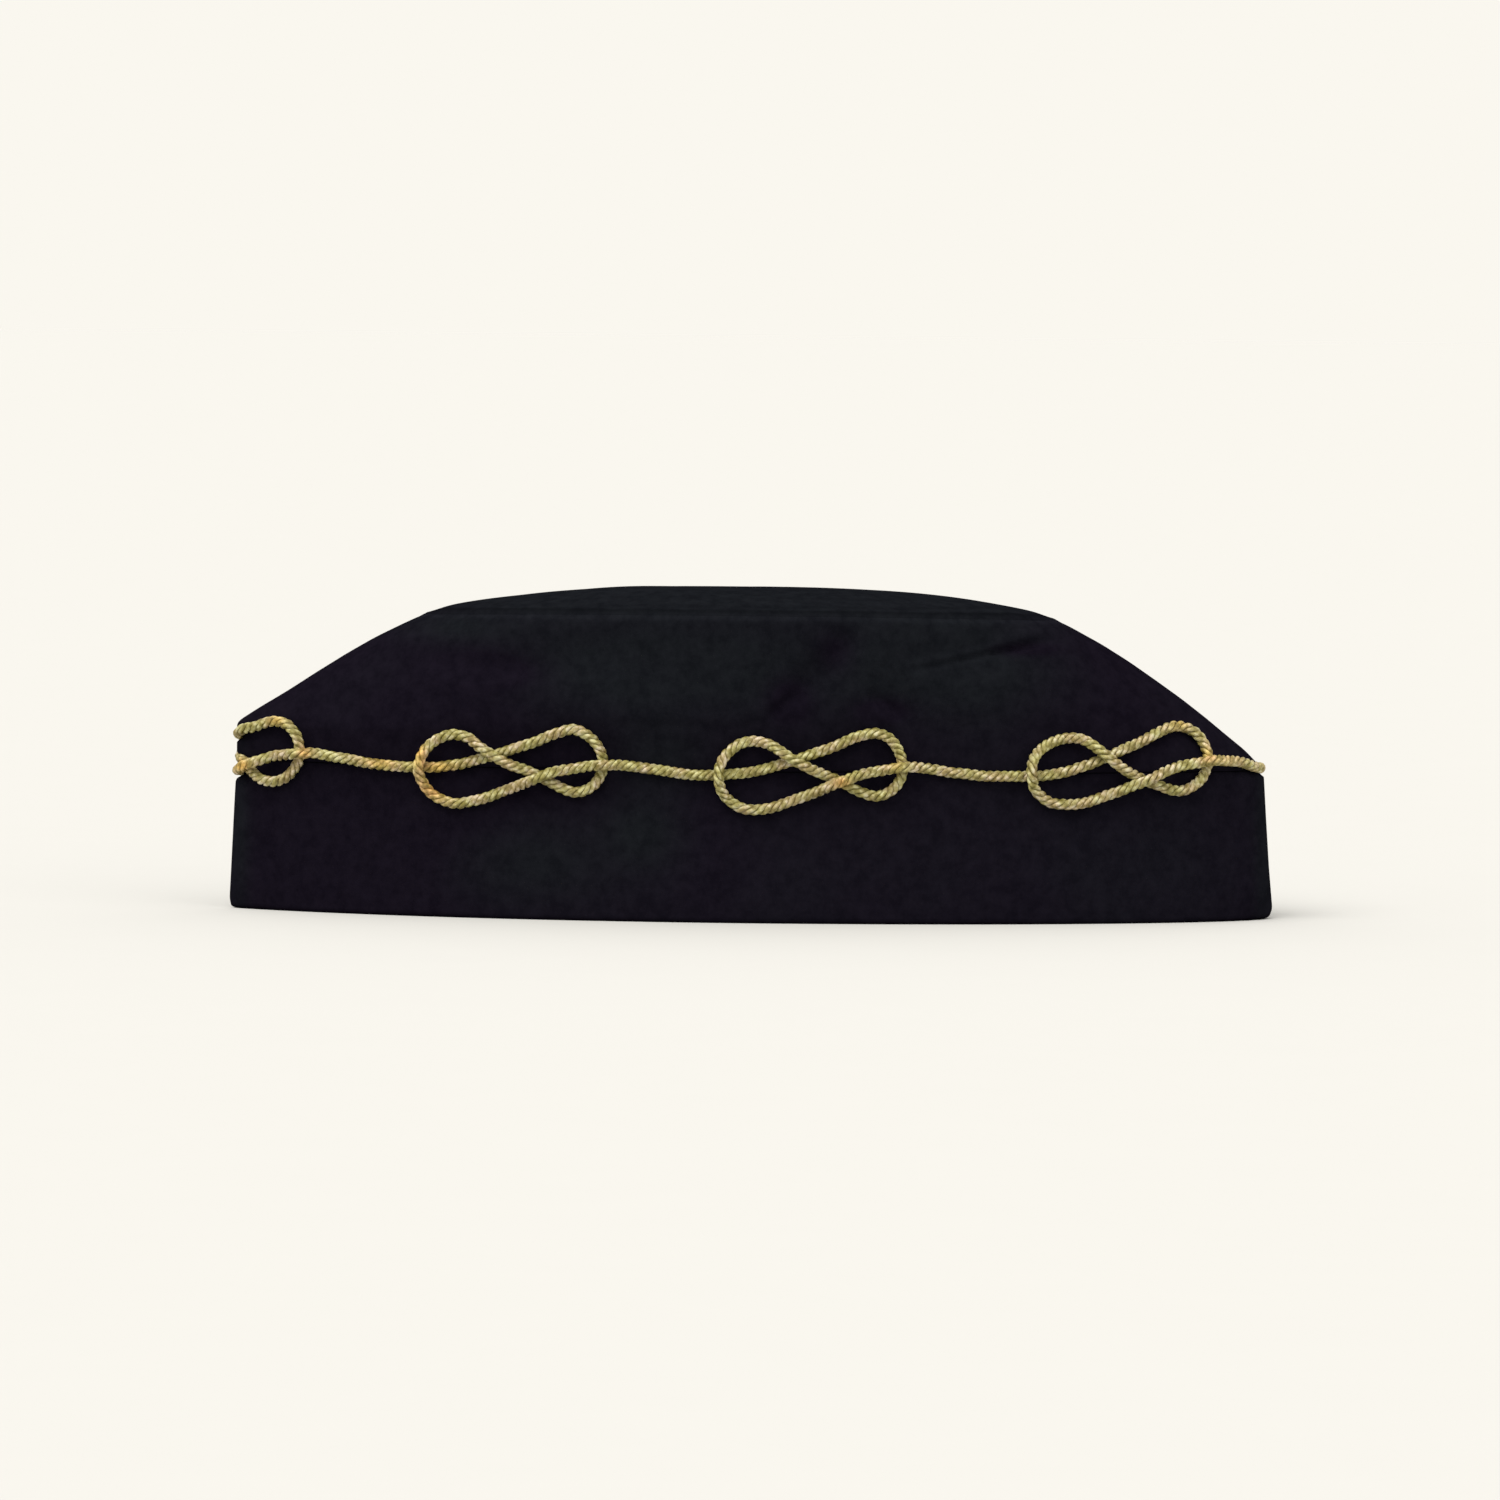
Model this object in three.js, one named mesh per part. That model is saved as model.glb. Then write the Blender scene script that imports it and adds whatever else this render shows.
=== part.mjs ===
// Ceremonial crown cap: a soft black cloth cap standing on its own rim, nearly flattened from
// front to back, with a gold cord laid round it in seven figure-eight love knots.
// Millimetres, +Z up. The front faces -Y, and the origin is at rim level under the cap's middle.

import * as THREE from "three";

// Cloth and seams
const clothThickness = 2.2;
const foldInset = 4.5; // the inner face lies this far behind the outer one at a folded edge
const seamGap = 0.3;
const bandHeight = 40.2;
const crownHeight = 80.2; // top of the crown side at the folded edges
const seamArch = 1.7; // the tip seam is this much higher in the middle of the front and the back
const archStart = 50; // height at which the rows of the crown start to arch
const seamSlope = 1.35; // the tip seam is this much lower at the inner face of the cloth
const tipRise = 7.4; // middle of the tip above the ends of its edge
const tipFullness = 2.6; // 2 for an even dome, and more for one that is flatter in the middle

// Cord
const cordDiameter = 3;
const cordGap = 0.65; // clear space between the cord and the cloth
const crossingGap = 0.3; // clear space between two passes of the cord
const cordEndGap = 0.6;
const cordSides = 8;
const cordStep = 2.2;

// Mesh steps
const stepsAround = 88;
const foldCrowding = 0.3; // share by which the steps close up at the folded edges
const routeSample = 0.5;
const arcSamples = 1440;

// Sections of the outer cloth surface: how far the left and the right folded edge reach from the
// middle, half the depth, and the crease of each edge, from 0.5 for an oval to 1 for a sharp lens.
const sections = [
  { height: 0, left: 140.1, right: 138.9, halfDepth: 36.6, leftCrease: 0.85, rightCrease: 0.6 },
  { height: 2.5, left: 141.3, right: 140.3, halfDepth: 37, leftCrease: 0.85, rightCrease: 0.6 },
  { height: 14, left: 140.8, right: 139.2, halfDepth: 36.2, leftCrease: 0.85, rightCrease: 0.6 },
  { height: 28, left: 140.2, right: 138.2, halfDepth: 34.8, leftCrease: 0.82, rightCrease: 0.6 },
  { height: bandHeight, left: 139.6, right: 137.4, halfDepth: 33.6, leftCrease: 0.8, rightCrease: 0.6 },
  { height: 45.5, left: 139.6, right: 132.2, halfDepth: 34, leftCrease: 0.8, rightCrease: 0.6 },
  { height: 50.3, left: 139.6, right: 126.2, halfDepth: 34.7, leftCrease: 0.79, rightCrease: 0.6 },
  { height: 54, left: 134, right: 121.7, halfDepth: 35.4, leftCrease: 0.78, rightCrease: 0.6 },
  { height: 59, left: 125.8, right: 115.2, halfDepth: 36.2, leftCrease: 0.74, rightCrease: 0.59 },
  { height: 64, left: 118.2, right: 108.1, halfDepth: 36.9, leftCrease: 0.7, rightCrease: 0.58 },
  { height: 69, left: 110.3, right: 100.8, halfDepth: 37.3, leftCrease: 0.66, rightCrease: 0.57 },
  { height: 73.5, left: 102.6, right: 93.5, halfDepth: 37.5, leftCrease: 0.63, rightCrease: 0.56 },
  { height: 77.5, left: 94.5, right: 86, halfDepth: 37.6, leftCrease: 0.6, rightCrease: 0.55 },
  { height: crownHeight, left: 88.6, right: 80.5, halfDepth: 37.6, leftCrease: 0.58, rightCrease: 0.55 },
];

// Where the cord is drawn tight over a folded edge, the cloth gives way under it. Side is -1 for
// the left edge and 1 for the right one.
const grooves = [
  { side: -1, height: 46.9, halfHeight: 1.7, depth: 1.9 },
  { side: -1, height: 39, halfHeight: 3.5, depth: 3.2 },
  { side: 1, height: 40.1, halfHeight: 1.9, depth: 2.1 },
];
const grooveFade = 24; // a higher power keeps the grooves closer to the folded edges

// Heights of the rings of points, closer together at the grooves
const bandRows = [0, 2.5, 14, 28, 34, 36, 38.2, bandHeight];
const crownUpperRows = [54, 59, 64, 69, 73.5, 77.5, crownHeight];
const crownRows = [bandHeight + seamGap, 42, 43.4, 45, 46.2, 47.9, 49.2, 50.6, ...crownUpperRows];

// Rings of the tip, as shares of its outline
const tipTopRows = [1, 0.97, 0.9, 0.75, 0.5, 0.25];
const tipUnderRows = [0.25, 0.5, 0.75, 0.94];

// Dents and folds in the cloth. Side is -1 for the front and 1 for the back. The middle is given,
// with the half length, the half width, the tilt of the long axis in degrees, and the depth,
// which is negative where the cloth swells.
const dents = [
  { side: -1, x: -60, height: 69, halfLength: 30, halfWidth: 6, tilt: 0, depth: 2.2 },
  { side: -1, x: 19, height: 69, halfLength: 17, halfWidth: 5, tilt: 48, depth: 1.8 },
  { side: -1, x: 36, height: 59, halfLength: 9, halfWidth: 4.5, tilt: -36, depth: 1.2 },
  { side: -1, x: 60, height: 72, halfLength: 20, halfWidth: 4.5, tilt: 11, depth: 1.3 },
  { side: -1, x: -26, height: 56, halfLength: 34, halfWidth: 5, tilt: 0, depth: -0.8 },
  { side: -1, x: -22, height: 19, halfLength: 22, halfWidth: 10, tilt: 35, depth: 0.9 },
  { side: 1, x: 30, height: 66, halfLength: 32, halfWidth: 8, tilt: -8, depth: 1.6 },
  { side: 1, x: -48, height: 62, halfLength: 18, halfWidth: 6, tilt: 30, depth: 1.2 },
];

// One love knot, in the order in which the cord is laid: the place along the cord line, the place
// above it, and the lift, which is about 1 where the cord rides over an earlier pass.
const knotRoute = [
  { along: -24.6, up: -0.9, lift: 0 },
  { along: -19.4, up: -0.5, lift: 0 },
  { along: -14, up: 0.6, lift: 0 },
  { along: -8.6, up: 2.1, lift: 0 },
  { along: -3.2, up: 3.9, lift: 0 },
  { along: 2.1, up: 5.8, lift: 0 },
  { along: 7.4, up: 7.9, lift: 0 },
  { along: 12.2, up: 10, lift: 0 },
  { along: 16.3, up: 10.9, lift: 0 },
  { along: 20.1, up: 9.4, lift: 0 },
  { along: 22.7, up: 6.3, lift: 0 },
  { along: 23.9, up: 2.5, lift: 0 },
  { along: 23.4, up: -1.4, lift: 0 },
  { along: 21, up: -4.8, lift: 0 },
  { along: 17.1, up: -6.2, lift: 0 },
  { along: 13, up: -5.3, lift: 0 },
  { along: 9, up: -3.2, lift: 0 },
  { along: 5, up: -1.4, lift: 0 },
  { along: 1, up: 0.4, lift: 0.5 },
  { along: -2.6, up: 2.4, lift: 0.9 },
  { along: -5.8, up: 4.3, lift: 1 },
  { along: -8.9, up: 6.4, lift: 0.8 },
  { along: -12.1, up: 8, lift: 0.25 },
  { along: -16.2, up: 8.5, lift: 0 },
  { along: -20.5, up: 7.1, lift: 0 },
  { along: -23.6, up: 3.9, lift: 0.5 },
  { along: -24.8, up: -0.5, lift: 1 },
  { along: -23.9, up: -5.1, lift: 0.5 },
  { along: -20.6, up: -8.7, lift: 0 },
  { along: -15.5, up: -10.2, lift: 0 },
  { along: -9.7, up: -9.2, lift: 0 },
  { along: -3.5, up: -7, lift: 0 },
  { along: 1.4, up: -5.1, lift: 0.25 },
  { along: 5.2, up: -3.6, lift: 0.95 },
  { along: 8.8, up: -2.1, lift: 1.05 },
  { along: 12.5, up: -0.6, lift: 0.75 },
  { along: 16.4, up: 0.4, lift: 0.4 },
  { along: 20.4, up: 1.3, lift: 0.6 },
  { along: 24.3, up: 1.9, lift: 1 },
  { along: 28.4, up: 1.9, lift: 0.45 },
];

// The knot that goes round the left folded edge
const foldKnotRoute = [
  { along: -24.6, up: -0.9, lift: 0 },
  { along: -19.4, up: -0.5, lift: 0 },
  { along: -14, up: 0.6, lift: 0 },
  { along: -8.6, up: 2.1, lift: 0 },
  { along: -3.2, up: 3.6, lift: 0 },
  { along: 1.2, up: 4.8, lift: 0 },
  { along: 4.2, up: 6.1, lift: 0 },
  { along: 6.2, up: 7.3, lift: 0 },
  { along: 8.7, up: 8.1, lift: 0 },
  { along: 11.5, up: 8.8, lift: 0 },
  { along: 14.6, up: 9.6, lift: 0 },
  { along: 17.9, up: 10, lift: 0 },
  { along: 21, up: 9.4, lift: 0 },
  { along: 23.2, up: 7.4, lift: 0 },
  { along: 24.2, up: 5, lift: 0 },
  { along: 24.7, up: 2.4, lift: 0 },
  { along: 24.5, up: 0.3, lift: 0 },
  { along: 23.6, up: -1.6, lift: 0 },
  { along: 22.1, up: -3.6, lift: 0 },
  { along: 20, up: -5.3, lift: 0 },
  { along: 17.2, up: -6.4, lift: 0 },
  { along: 13.7, up: -6.2, lift: 0 },
  { along: 11, up: -5.1, lift: 0 },
  { along: 8.6, up: -3.9, lift: 0 },
  { along: 6.8, up: -2.8, lift: 0 },
  { along: 5.4, up: -1.5, lift: 0 },
  { along: 4.2, up: -0.6, lift: 0.1 },
  { along: 1.6, up: 0.8, lift: 0.35 },
  { along: -2.2, up: 2.4, lift: 0.85 },
  { along: -5.9, up: 4.2, lift: 1 },
  { along: -9, up: 6.1, lift: 0.8 },
  { along: -12.2, up: 7.8, lift: 0.25 },
  { along: -16.2, up: 8.5, lift: 0 },
  { along: -20.5, up: 7.1, lift: 0 },
  { along: -23.6, up: 3.9, lift: 0.5 },
  { along: -24.8, up: -0.5, lift: 1 },
  { along: -23.9, up: -5.1, lift: 0.5 },
  { along: -20.6, up: -8.7, lift: 0 },
  { along: -15.5, up: -10.2, lift: 0 },
  { along: -9.7, up: -9.2, lift: 0 },
  { along: -3.5, up: -7, lift: 0 },
  { along: 1.2, up: -5.2, lift: 0.1 },
  { along: 4.2, up: -4.1, lift: 0.6 },
  { along: 5.8, up: -3.5, lift: 0.95 },
  { along: 7.6, up: -2.7, lift: 1.05 },
  { along: 10.2, up: -1.6, lift: 0.95 },
  { along: 12.6, up: -0.6, lift: 0.6 },
  { along: 15.3, up: 0.3, lift: 0.25 },
  { along: 18, up: 1, lift: 0.3 },
  { along: 21.4, up: 1.5, lift: 0.75 },
  { along: 24.9, up: 1.9, lift: 1.05 },
  { along: 28.3, up: 2.1, lift: 0.45 },
];

// The knot beside the right folded edge
const rightKnotRoute = [
  { along: -24.6, up: -1.4, lift: 0 },
  { along: -19.3, up: -1.1, lift: 0 },
  { along: -13.9, up: 0.1, lift: 0 },
  { along: -8.6, up: 1.8, lift: 0 },
  { along: -3.2, up: 4, lift: 0 },
  { along: 1.9, up: 6.1, lift: 0 },
  { along: 7.1, up: 8.3, lift: 0 },
  { along: 11.9, up: 10.6, lift: 0 },
  { along: 16.2, up: 11, lift: 0 },
  { along: 20, up: 9.2, lift: 0 },
  { along: 23, up: 5.9, lift: 0 },
  { along: 24.1, up: 1.7, lift: 0 },
  { along: 22.6, up: -1.9, lift: 0 },
  { along: 20.2, up: -4.3, lift: 0 },
  { along: 17, up: -5.7, lift: 0 },
  { along: 13.1, up: -5.4, lift: 0 },
  { along: 8.8, up: -3.8, lift: 0 },
  { along: 4.7, up: -2.2, lift: 0 },
  { along: 0.6, up: -0.4, lift: 0.5 },
  { along: -3, up: 1.6, lift: 0.9 },
  { along: -6, up: 4, lift: 1 },
  { along: -8.8, up: 6.4, lift: 0.8 },
  { along: -12, up: 8.4, lift: 0.25 },
  { along: -16.2, up: 8.7, lift: 0 },
  { along: -20.6, up: 7, lift: 0 },
  { along: -24, up: 3.9, lift: 0.5 },
  { along: -25.2, up: -0.5, lift: 1 },
  { along: -23.9, up: -5.1, lift: 0.5 },
  { along: -20.2, up: -8.3, lift: 0 },
  { along: -15.5, up: -9.3, lift: 0 },
  { along: -9.9, up: -8.7, lift: 0 },
  { along: -3.7, up: -6.7, lift: 0 },
  { along: 1.2, up: -4.8, lift: 0.4 },
  { along: 5, up: -3.2, lift: 1 },
  { along: 8.5, up: -1.7, lift: 1.05 },
  { along: 12.2, up: -0.4, lift: 0.75 },
  { along: 16.2, up: 0.4, lift: 0.4 },
  { along: 20.2, up: 0.8, lift: 0.6 },
  { along: 24.3, up: 0.9, lift: 1 },
  { along: 28.4, up: 1, lift: 0.45 },
];

// The cord from one knot to the next, along and up from the knot behind it.
const linkRoute = [
  { along: 33, up: 1.2, lift: 0 },
  { along: 41, up: 0, lift: 0 },
  { along: 48, up: -0.8, lift: 0 },
];

// The seven knots from the back round by the left edge: the station of each along the cord line
// from the middle of the front, its rise above the line, its tilt in degrees, how long and how tall
// it is beside its route, and the route.
const knots = [
  { station: -308, rise: 0.4, tilt: 0.5, length: 1, size: 1, route: knotRoute },
  { station: -227, rise: -0.4, tilt: 0, length: 1, size: 1, route: knotRoute },
  { station: -147, rise: 0.9, tilt: -0.6, length: 0.98, size: 0.96, route: foldKnotRoute },
  { station: -63.1, rise: 0.3, tilt: -0.6, length: 1.01, size: 1, route: knotRoute },
  { station: 16.6, rise: 0, tilt: 0, length: 1, size: 1, route: knotRoute },
  { station: 100.1, rise: 0.7, tilt: 0.2, length: 1.015, size: 0.97, route: rightKnotRoute },
  { station: 181, rise: -0.6, tilt: 0.4, length: 1, size: 1, route: knotRoute },
];
const joinStation = 219; // where the two ends of the cord meet, at the back

// Where the cord lies higher or lower than its pattern, fading out over the reach along and up
const cordShifts = [
  { station: -108, height: 40.5, along: 14, up: 5, rise: 0.7 },
  { station: 52, height: 40.5, along: 9, up: 5, rise: -0.4 },
  { station: 144.5, height: 40.5, along: 6, up: 4, rise: -0.8 },
];

// The outer cloth surface

function mix(a, b, share) {
  return a + (b - a) * share;
}

function sectionAt(height) {
  let row = 1;
  while (row < sections.length - 1 && sections[row].height < height) {
    row += 1;
  }
  const below = sections[row - 1];
  const above = sections[row];
  const share = (height - below.height) / (above.height - below.height);
  return {
    middle: mix(below.right - below.left, above.right - above.left, share) / 2,
    halfWidth: mix(below.left + below.right, above.left + above.right, share) / 2,
    halfDepth: mix(below.halfDepth, above.halfDepth, share),
    leftCrease: mix(below.leftCrease, above.leftCrease, share),
    rightCrease: mix(below.rightCrease, above.rightCrease, share),
  };
}

// Share of the half depth that is left at an angle, where the section narrows to its folded edges
function depthShare(section, angle) {
  const crease = Math.sin(angle) < 0 ? section.leftCrease : section.rightCrease;
  return Math.abs(Math.cos(angle)) ** (2 * crease);
}

function grooveDepth(angle, height) {
  let depth = 0;
  for (const groove of grooves.filter((entry) => entry.side === Math.sign(Math.sin(angle)))) {
    depth += groove.depth * Math.exp(-(((height - groove.height) / groove.halfHeight) ** 4));
  }
  return depth * Math.abs(Math.sin(angle)) ** grooveFade;
}

function dentDepth(side, x, height) {
  let depth = 0;
  for (const dent of dents.filter((entry) => entry.side === side)) {
    const tilt = THREE.MathUtils.degToRad(dent.tilt);
    const dx = x - dent.x;
    const dz = height - dent.height;
    const along = (dx * Math.cos(tilt) + dz * Math.sin(tilt)) / dent.halfLength;
    const across = (dz * Math.cos(tilt) - dx * Math.sin(tilt)) / dent.halfWidth;
    depth += dent.depth * Math.exp(-along * along - across * across);
  }
  return depth;
}

// Angle 0 is the middle of the front, and a quarter turn is the right folded edge. Inset is 0 for
// the outer face of the cloth and 1 for the inner face, and pull is how far the fold is drawn in.
function pulledPoint(angle, height, inset, pull) {
  const section = sectionAt(height);
  const side = Math.cos(angle) > 0 ? -1 : 1;
  const facing = Math.abs(Math.cos(angle));
  const x = section.middle + (section.halfWidth - foldInset * inset - pull) * Math.sin(angle);
  const depth = (section.halfDepth - clothThickness * inset) * depthShare(section, angle);
  const dent = dentDepth(side, x, height) * Math.min(1, 2 * facing);
  const archShare = Math.max(0, (height - archStart) / (crownHeight - archStart));
  const z = height + seamArch * archShare ** 2 * facing;
  return new THREE.Vector3(x, side * (depth - dent), z);
}

function clothPoint(angle, height, inset) {
  return pulledPoint(angle, height, inset, grooveDepth(angle, height));
}

// The outline of the tip is the top of the crown side.
function tipPoint(angle, share, drop) {
  const outline = clothPoint(angle, crownHeight, 0);
  const middle = sectionAt(crownHeight).middle;
  const rise = mix(tipRise, outline.z - crownHeight, share ** tipFullness);
  return new THREE.Vector3(
    mix(middle, outline.x, share),
    share * outline.y,
    crownHeight + seamGap + rise - drop,
  );
}

// Closed cloth walls from rings of points

function ring(pointAt) {
  const points = [];
  for (let step = 0; step < stepsAround; step += 1) {
    const turn = (2 * Math.PI * step) / stepsAround;
    points.push(pointAt(turn - (foldCrowding / 2) * Math.sin(2 * turn)));
  }
  return points;
}

// A closed wall: its rings climb the outside and come down the inside, where the last joins the
// first, or they run from a middle point under the wall, round its edge, to one on top.
function wallGeometry(rings, pole, underPole) {
  const positions = rings.flat().flatMap((point) => point.toArray());
  const indices = [];
  const count = rings[0].length;
  const strips = pole ? rings.length - 1 : rings.length;
  for (let row = 0; row < strips; row += 1) {
    const nextRow = (row + 1) % rings.length;
    for (let step = 0; step < count; step += 1) {
      const nextStep = (step + 1) % count;
      const a = row * count + step;
      const b = row * count + nextStep;
      const c = nextRow * count + nextStep;
      const d = nextRow * count + step;
      indices.push(a, b, c, a, c, d);
    }
  }
  if (pole) {
    const top = positions.length / 3;
    positions.push(...pole.toArray(), ...underPole.toArray());
    const lastRow = (rings.length - 1) * count;
    for (let step = 0; step < count; step += 1) {
      const nextStep = (step + 1) % count;
      indices.push(lastRow + step, lastRow + nextStep, top);
      indices.push(nextStep, step, top + 1);
    }
  }
  const geometry = new THREE.BufferGeometry();
  geometry.setAttribute("position", new THREE.Float32BufferAttribute(positions, 3));
  geometry.setIndex(indices);
  geometry.computeVertexNormals();
  return geometry;
}

// The top edge can slope down to the inner face.
function sideWall(heights, topSlope) {
  const innerHeights = [...heights.slice(0, -1), heights.at(-1) - topSlope];
  const outer = heights.map((height) => ring((angle) => clothPoint(angle, height, 0)));
  const inner = innerHeights.map((height) => ring((angle) => clothPoint(angle, height, 1)));
  return wallGeometry([...outer, ...inner.reverse()]);
}

function tipWall() {
  const top = tipTopRows.map((share) => ring((angle) => tipPoint(angle, share, 0)));
  const under = tipUnderRows.map((share) => ring((angle) => tipPoint(angle, share, clothThickness)));
  const pole = tipPoint(0, 0, 0);
  const underPole = tipPoint(0, 0, clothThickness);
  return wallGeometry([...under, ...top], pole, underPole);
}

// The cord

// Angle at each sample of the length round the cap at the cord line, from the middle of the front.
function cordLineArc() {
  const samples = [{ angle: 0, length: 0 }];
  let before = clothPoint(0, bandHeight, 0);
  for (let step = 1; step <= arcSamples; step += 1) {
    const angle = (2 * Math.PI * step) / arcSamples;
    const point = clothPoint(angle, bandHeight, 0);
    samples.push({ angle, length: samples.at(-1).length + point.distanceTo(before) });
    before = point;
  }
  return samples;
}

const cordLine = cordLineArc();
const cordLineLength = cordLine.at(-1).length;

function angleAtStation(station) {
  const length = THREE.MathUtils.euclideanModulo(station, cordLineLength);
  const next = cordLine.findIndex((sample) => sample.length > length);
  const low = cordLine[next - 1];
  const high = cordLine[next];
  return mix(low.angle, high.angle, (length - low.length) / (high.length - low.length));
}

// The angle at another height that keeps the same place from left to right, except close to the
// folded edges, where it keeps the same turn.
function angleAtHeight(angle, height) {
  const line = sectionAt(bandHeight);
  const section = sectionAt(height);
  const sine = Math.sin(angle);
  const wanted = (line.middle + line.halfWidth * sine - section.middle) / section.halfWidth;
  const shifted = mix(wanted, sine, Math.abs(sine) ** 30);
  const turned = Math.asin(THREE.MathUtils.clamp(shifted, -1, 1));
  return Math.cos(angle) > 0 ? turned : Math.PI - turned;
}

// A point that stands off from the cloth, square to the surface as it would be without grooves
function overCloth(station, height, standOff) {
  const angle = angleAtHeight(angleAtStation(station), height);
  const small = 0.01;
  const around = pulledPoint(angle + small, height, 0, 0).sub(pulledPoint(angle - small, height, 0, 0));
  const up = pulledPoint(angle, height + small, 0, 0).sub(pulledPoint(angle, height - small, 0, 0));
  return clothPoint(angle, height, 0).addScaledVector(around.cross(up).normalize(), standOff);
}

function cordShift(station, height) {
  let shift = 0;
  for (const place of cordShifts) {
    const along = (station - place.station) / place.along;
    const up = (height - place.height) / place.up;
    shift += place.rise * Math.exp(-along * along - up * up);
  }
  return shift;
}

// The whole route on the unrolled cloth, as x along, y height and z lift.
function flatRoute() {
  const points = [new THREE.Vector3(joinStation - cordLineLength + cordEndGap / 2, bandHeight, 0)];
  for (const knot of knots) {
    const tilt = THREE.MathUtils.degToRad(knot.tilt);
    for (const place of [...knot.route, ...linkRoute]) {
      const station = knot.station + place.along * knot.length;
      const rise = knot.rise + place.up * knot.size + place.along * Math.tan(tilt);
      const height = bandHeight + rise;
      points.push(new THREE.Vector3(station, height + cordShift(station, height), place.lift));
    }
  }
  points.splice(-2);
  points.push(new THREE.Vector3(joinStation - cordEndGap / 2, bandHeight, 0));
  return new THREE.CatmullRomCurve3(points, false, "centripetal");
}

function cordGeometry() {
  const flat = flatRoute();
  flat.arcLengthDivisions = 6000;
  const fullLift = cordDiameter + crossingGap;
  const seated = cordDiameter / 2 + cordGap;
  const samples = Math.round(flat.getLength() / routeSample);
  const points = flat.getSpacedPoints(samples).map((place) =>
    overCloth(place.x, place.y, seated + fullLift * Math.max(0, place.z)));
  const route = new THREE.CatmullRomCurve3(points, false, "centripetal");
  route.arcLengthDivisions = 6000;
  const section = new THREE.Shape().absarc(0, 0, cordDiameter / 2, 0, 2 * Math.PI);
  return new THREE.ExtrudeGeometry(section, {
    steps: Math.round(route.getLength() / cordStep),
    curveSegments: cordSides / 2,
    extrudePath: route,
    bevelEnabled: false,
  });
}

// Pieces

function piece(name, geometry, colour, roughness, metalness) {
  const material = new THREE.MeshStandardMaterial({ color: colour, roughness, metalness });
  const mesh = new THREE.Mesh(geometry, material);
  mesh.name = name;
  return mesh;
}

const clothColour = "#18171c";
const cordColour = "#c2b673";
const cap = new THREE.Group();
cap.add(
  piece("band", sideWall(bandRows, 0), clothColour, 0.85, 0),
  piece("crown_side", sideWall(crownRows, seamSlope), clothColour, 0.85, 0),
  piece("crown_tip", tipWall(), clothColour, 0.85, 0),
  piece("knot_cord", cordGeometry(), cordColour, 0.55, 0.2),
);

// The knots at the folded edges make one side reach further, so the cap is centred by its box.
const centre = new THREE.Box3().setFromObject(cap).getCenter(new THREE.Vector3());
cap.position.set(-centre.x, -centre.y, 0);

export default cap;
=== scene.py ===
"""A soft black ceremonial cap with a gold cord laid round it in love knots, on a pale studio floor.

The tables and the sizes of the cloth and the cord are in millimetres, as the CAD model's are. The
meshes are in metres, in the frame's axes: +Z up, the front facing -Y.
"""

import math

import bpy
import numpy as np
from mathutils import Matrix, Vector, noise


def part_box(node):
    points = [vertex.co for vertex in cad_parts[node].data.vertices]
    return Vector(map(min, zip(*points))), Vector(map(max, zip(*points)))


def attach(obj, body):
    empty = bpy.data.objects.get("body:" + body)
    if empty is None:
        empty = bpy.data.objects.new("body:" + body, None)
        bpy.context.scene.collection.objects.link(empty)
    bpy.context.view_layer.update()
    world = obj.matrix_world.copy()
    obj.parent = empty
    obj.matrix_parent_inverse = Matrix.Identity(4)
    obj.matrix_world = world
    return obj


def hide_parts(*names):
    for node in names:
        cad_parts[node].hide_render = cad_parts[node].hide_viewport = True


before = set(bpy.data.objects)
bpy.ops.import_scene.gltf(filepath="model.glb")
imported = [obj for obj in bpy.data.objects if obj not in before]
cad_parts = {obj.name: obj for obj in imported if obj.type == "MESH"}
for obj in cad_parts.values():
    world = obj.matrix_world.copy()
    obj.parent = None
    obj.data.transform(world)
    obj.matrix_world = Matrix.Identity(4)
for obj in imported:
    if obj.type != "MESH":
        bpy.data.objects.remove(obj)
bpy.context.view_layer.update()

MM = 0.001

# Cloth and seams
CLOTH_THICKNESS = 2.2
FOLD_INSET = 4.5
SEAM_GAP = 0.06
BAND_HEIGHT = 40.2
CROWN_HEIGHT = 80.2
SEAM_ARCH = 1.7
ARCH_START = 50
SEAM_SLOPE = 1.35
SLOPE_START = 4
TIP_RISE = 7.4
TIP_FULLNESS = 2.6
RIM_ROUNDING = 0.9
SEAM_ROUNDING = 0.35

# Cord
CORD_DIAMETER = 3
CORD_GAP = 0.1
CROSSING_LIFT = 3.1
CORD_END_GAP = 0.6
CORD_PLIES = 3
CORD_LEAD = 6.1
TWIST_DRIFT = 0.2
TWIST_DRIFT_SIZE = 16
STRAND_LEAD = 3.4
STRAND_RELIEF = 0.11
TWIST_DRIFT_OFFSET = 4.2
PLY_SIDES = 8
PLY_STEP = 0.42
ROUTE_STEP = 0.4
END_TAPER = 1.2
END_GIRTH = 0.45
JOIN_STATION = 219
FOLD_HOLD = 30

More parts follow.
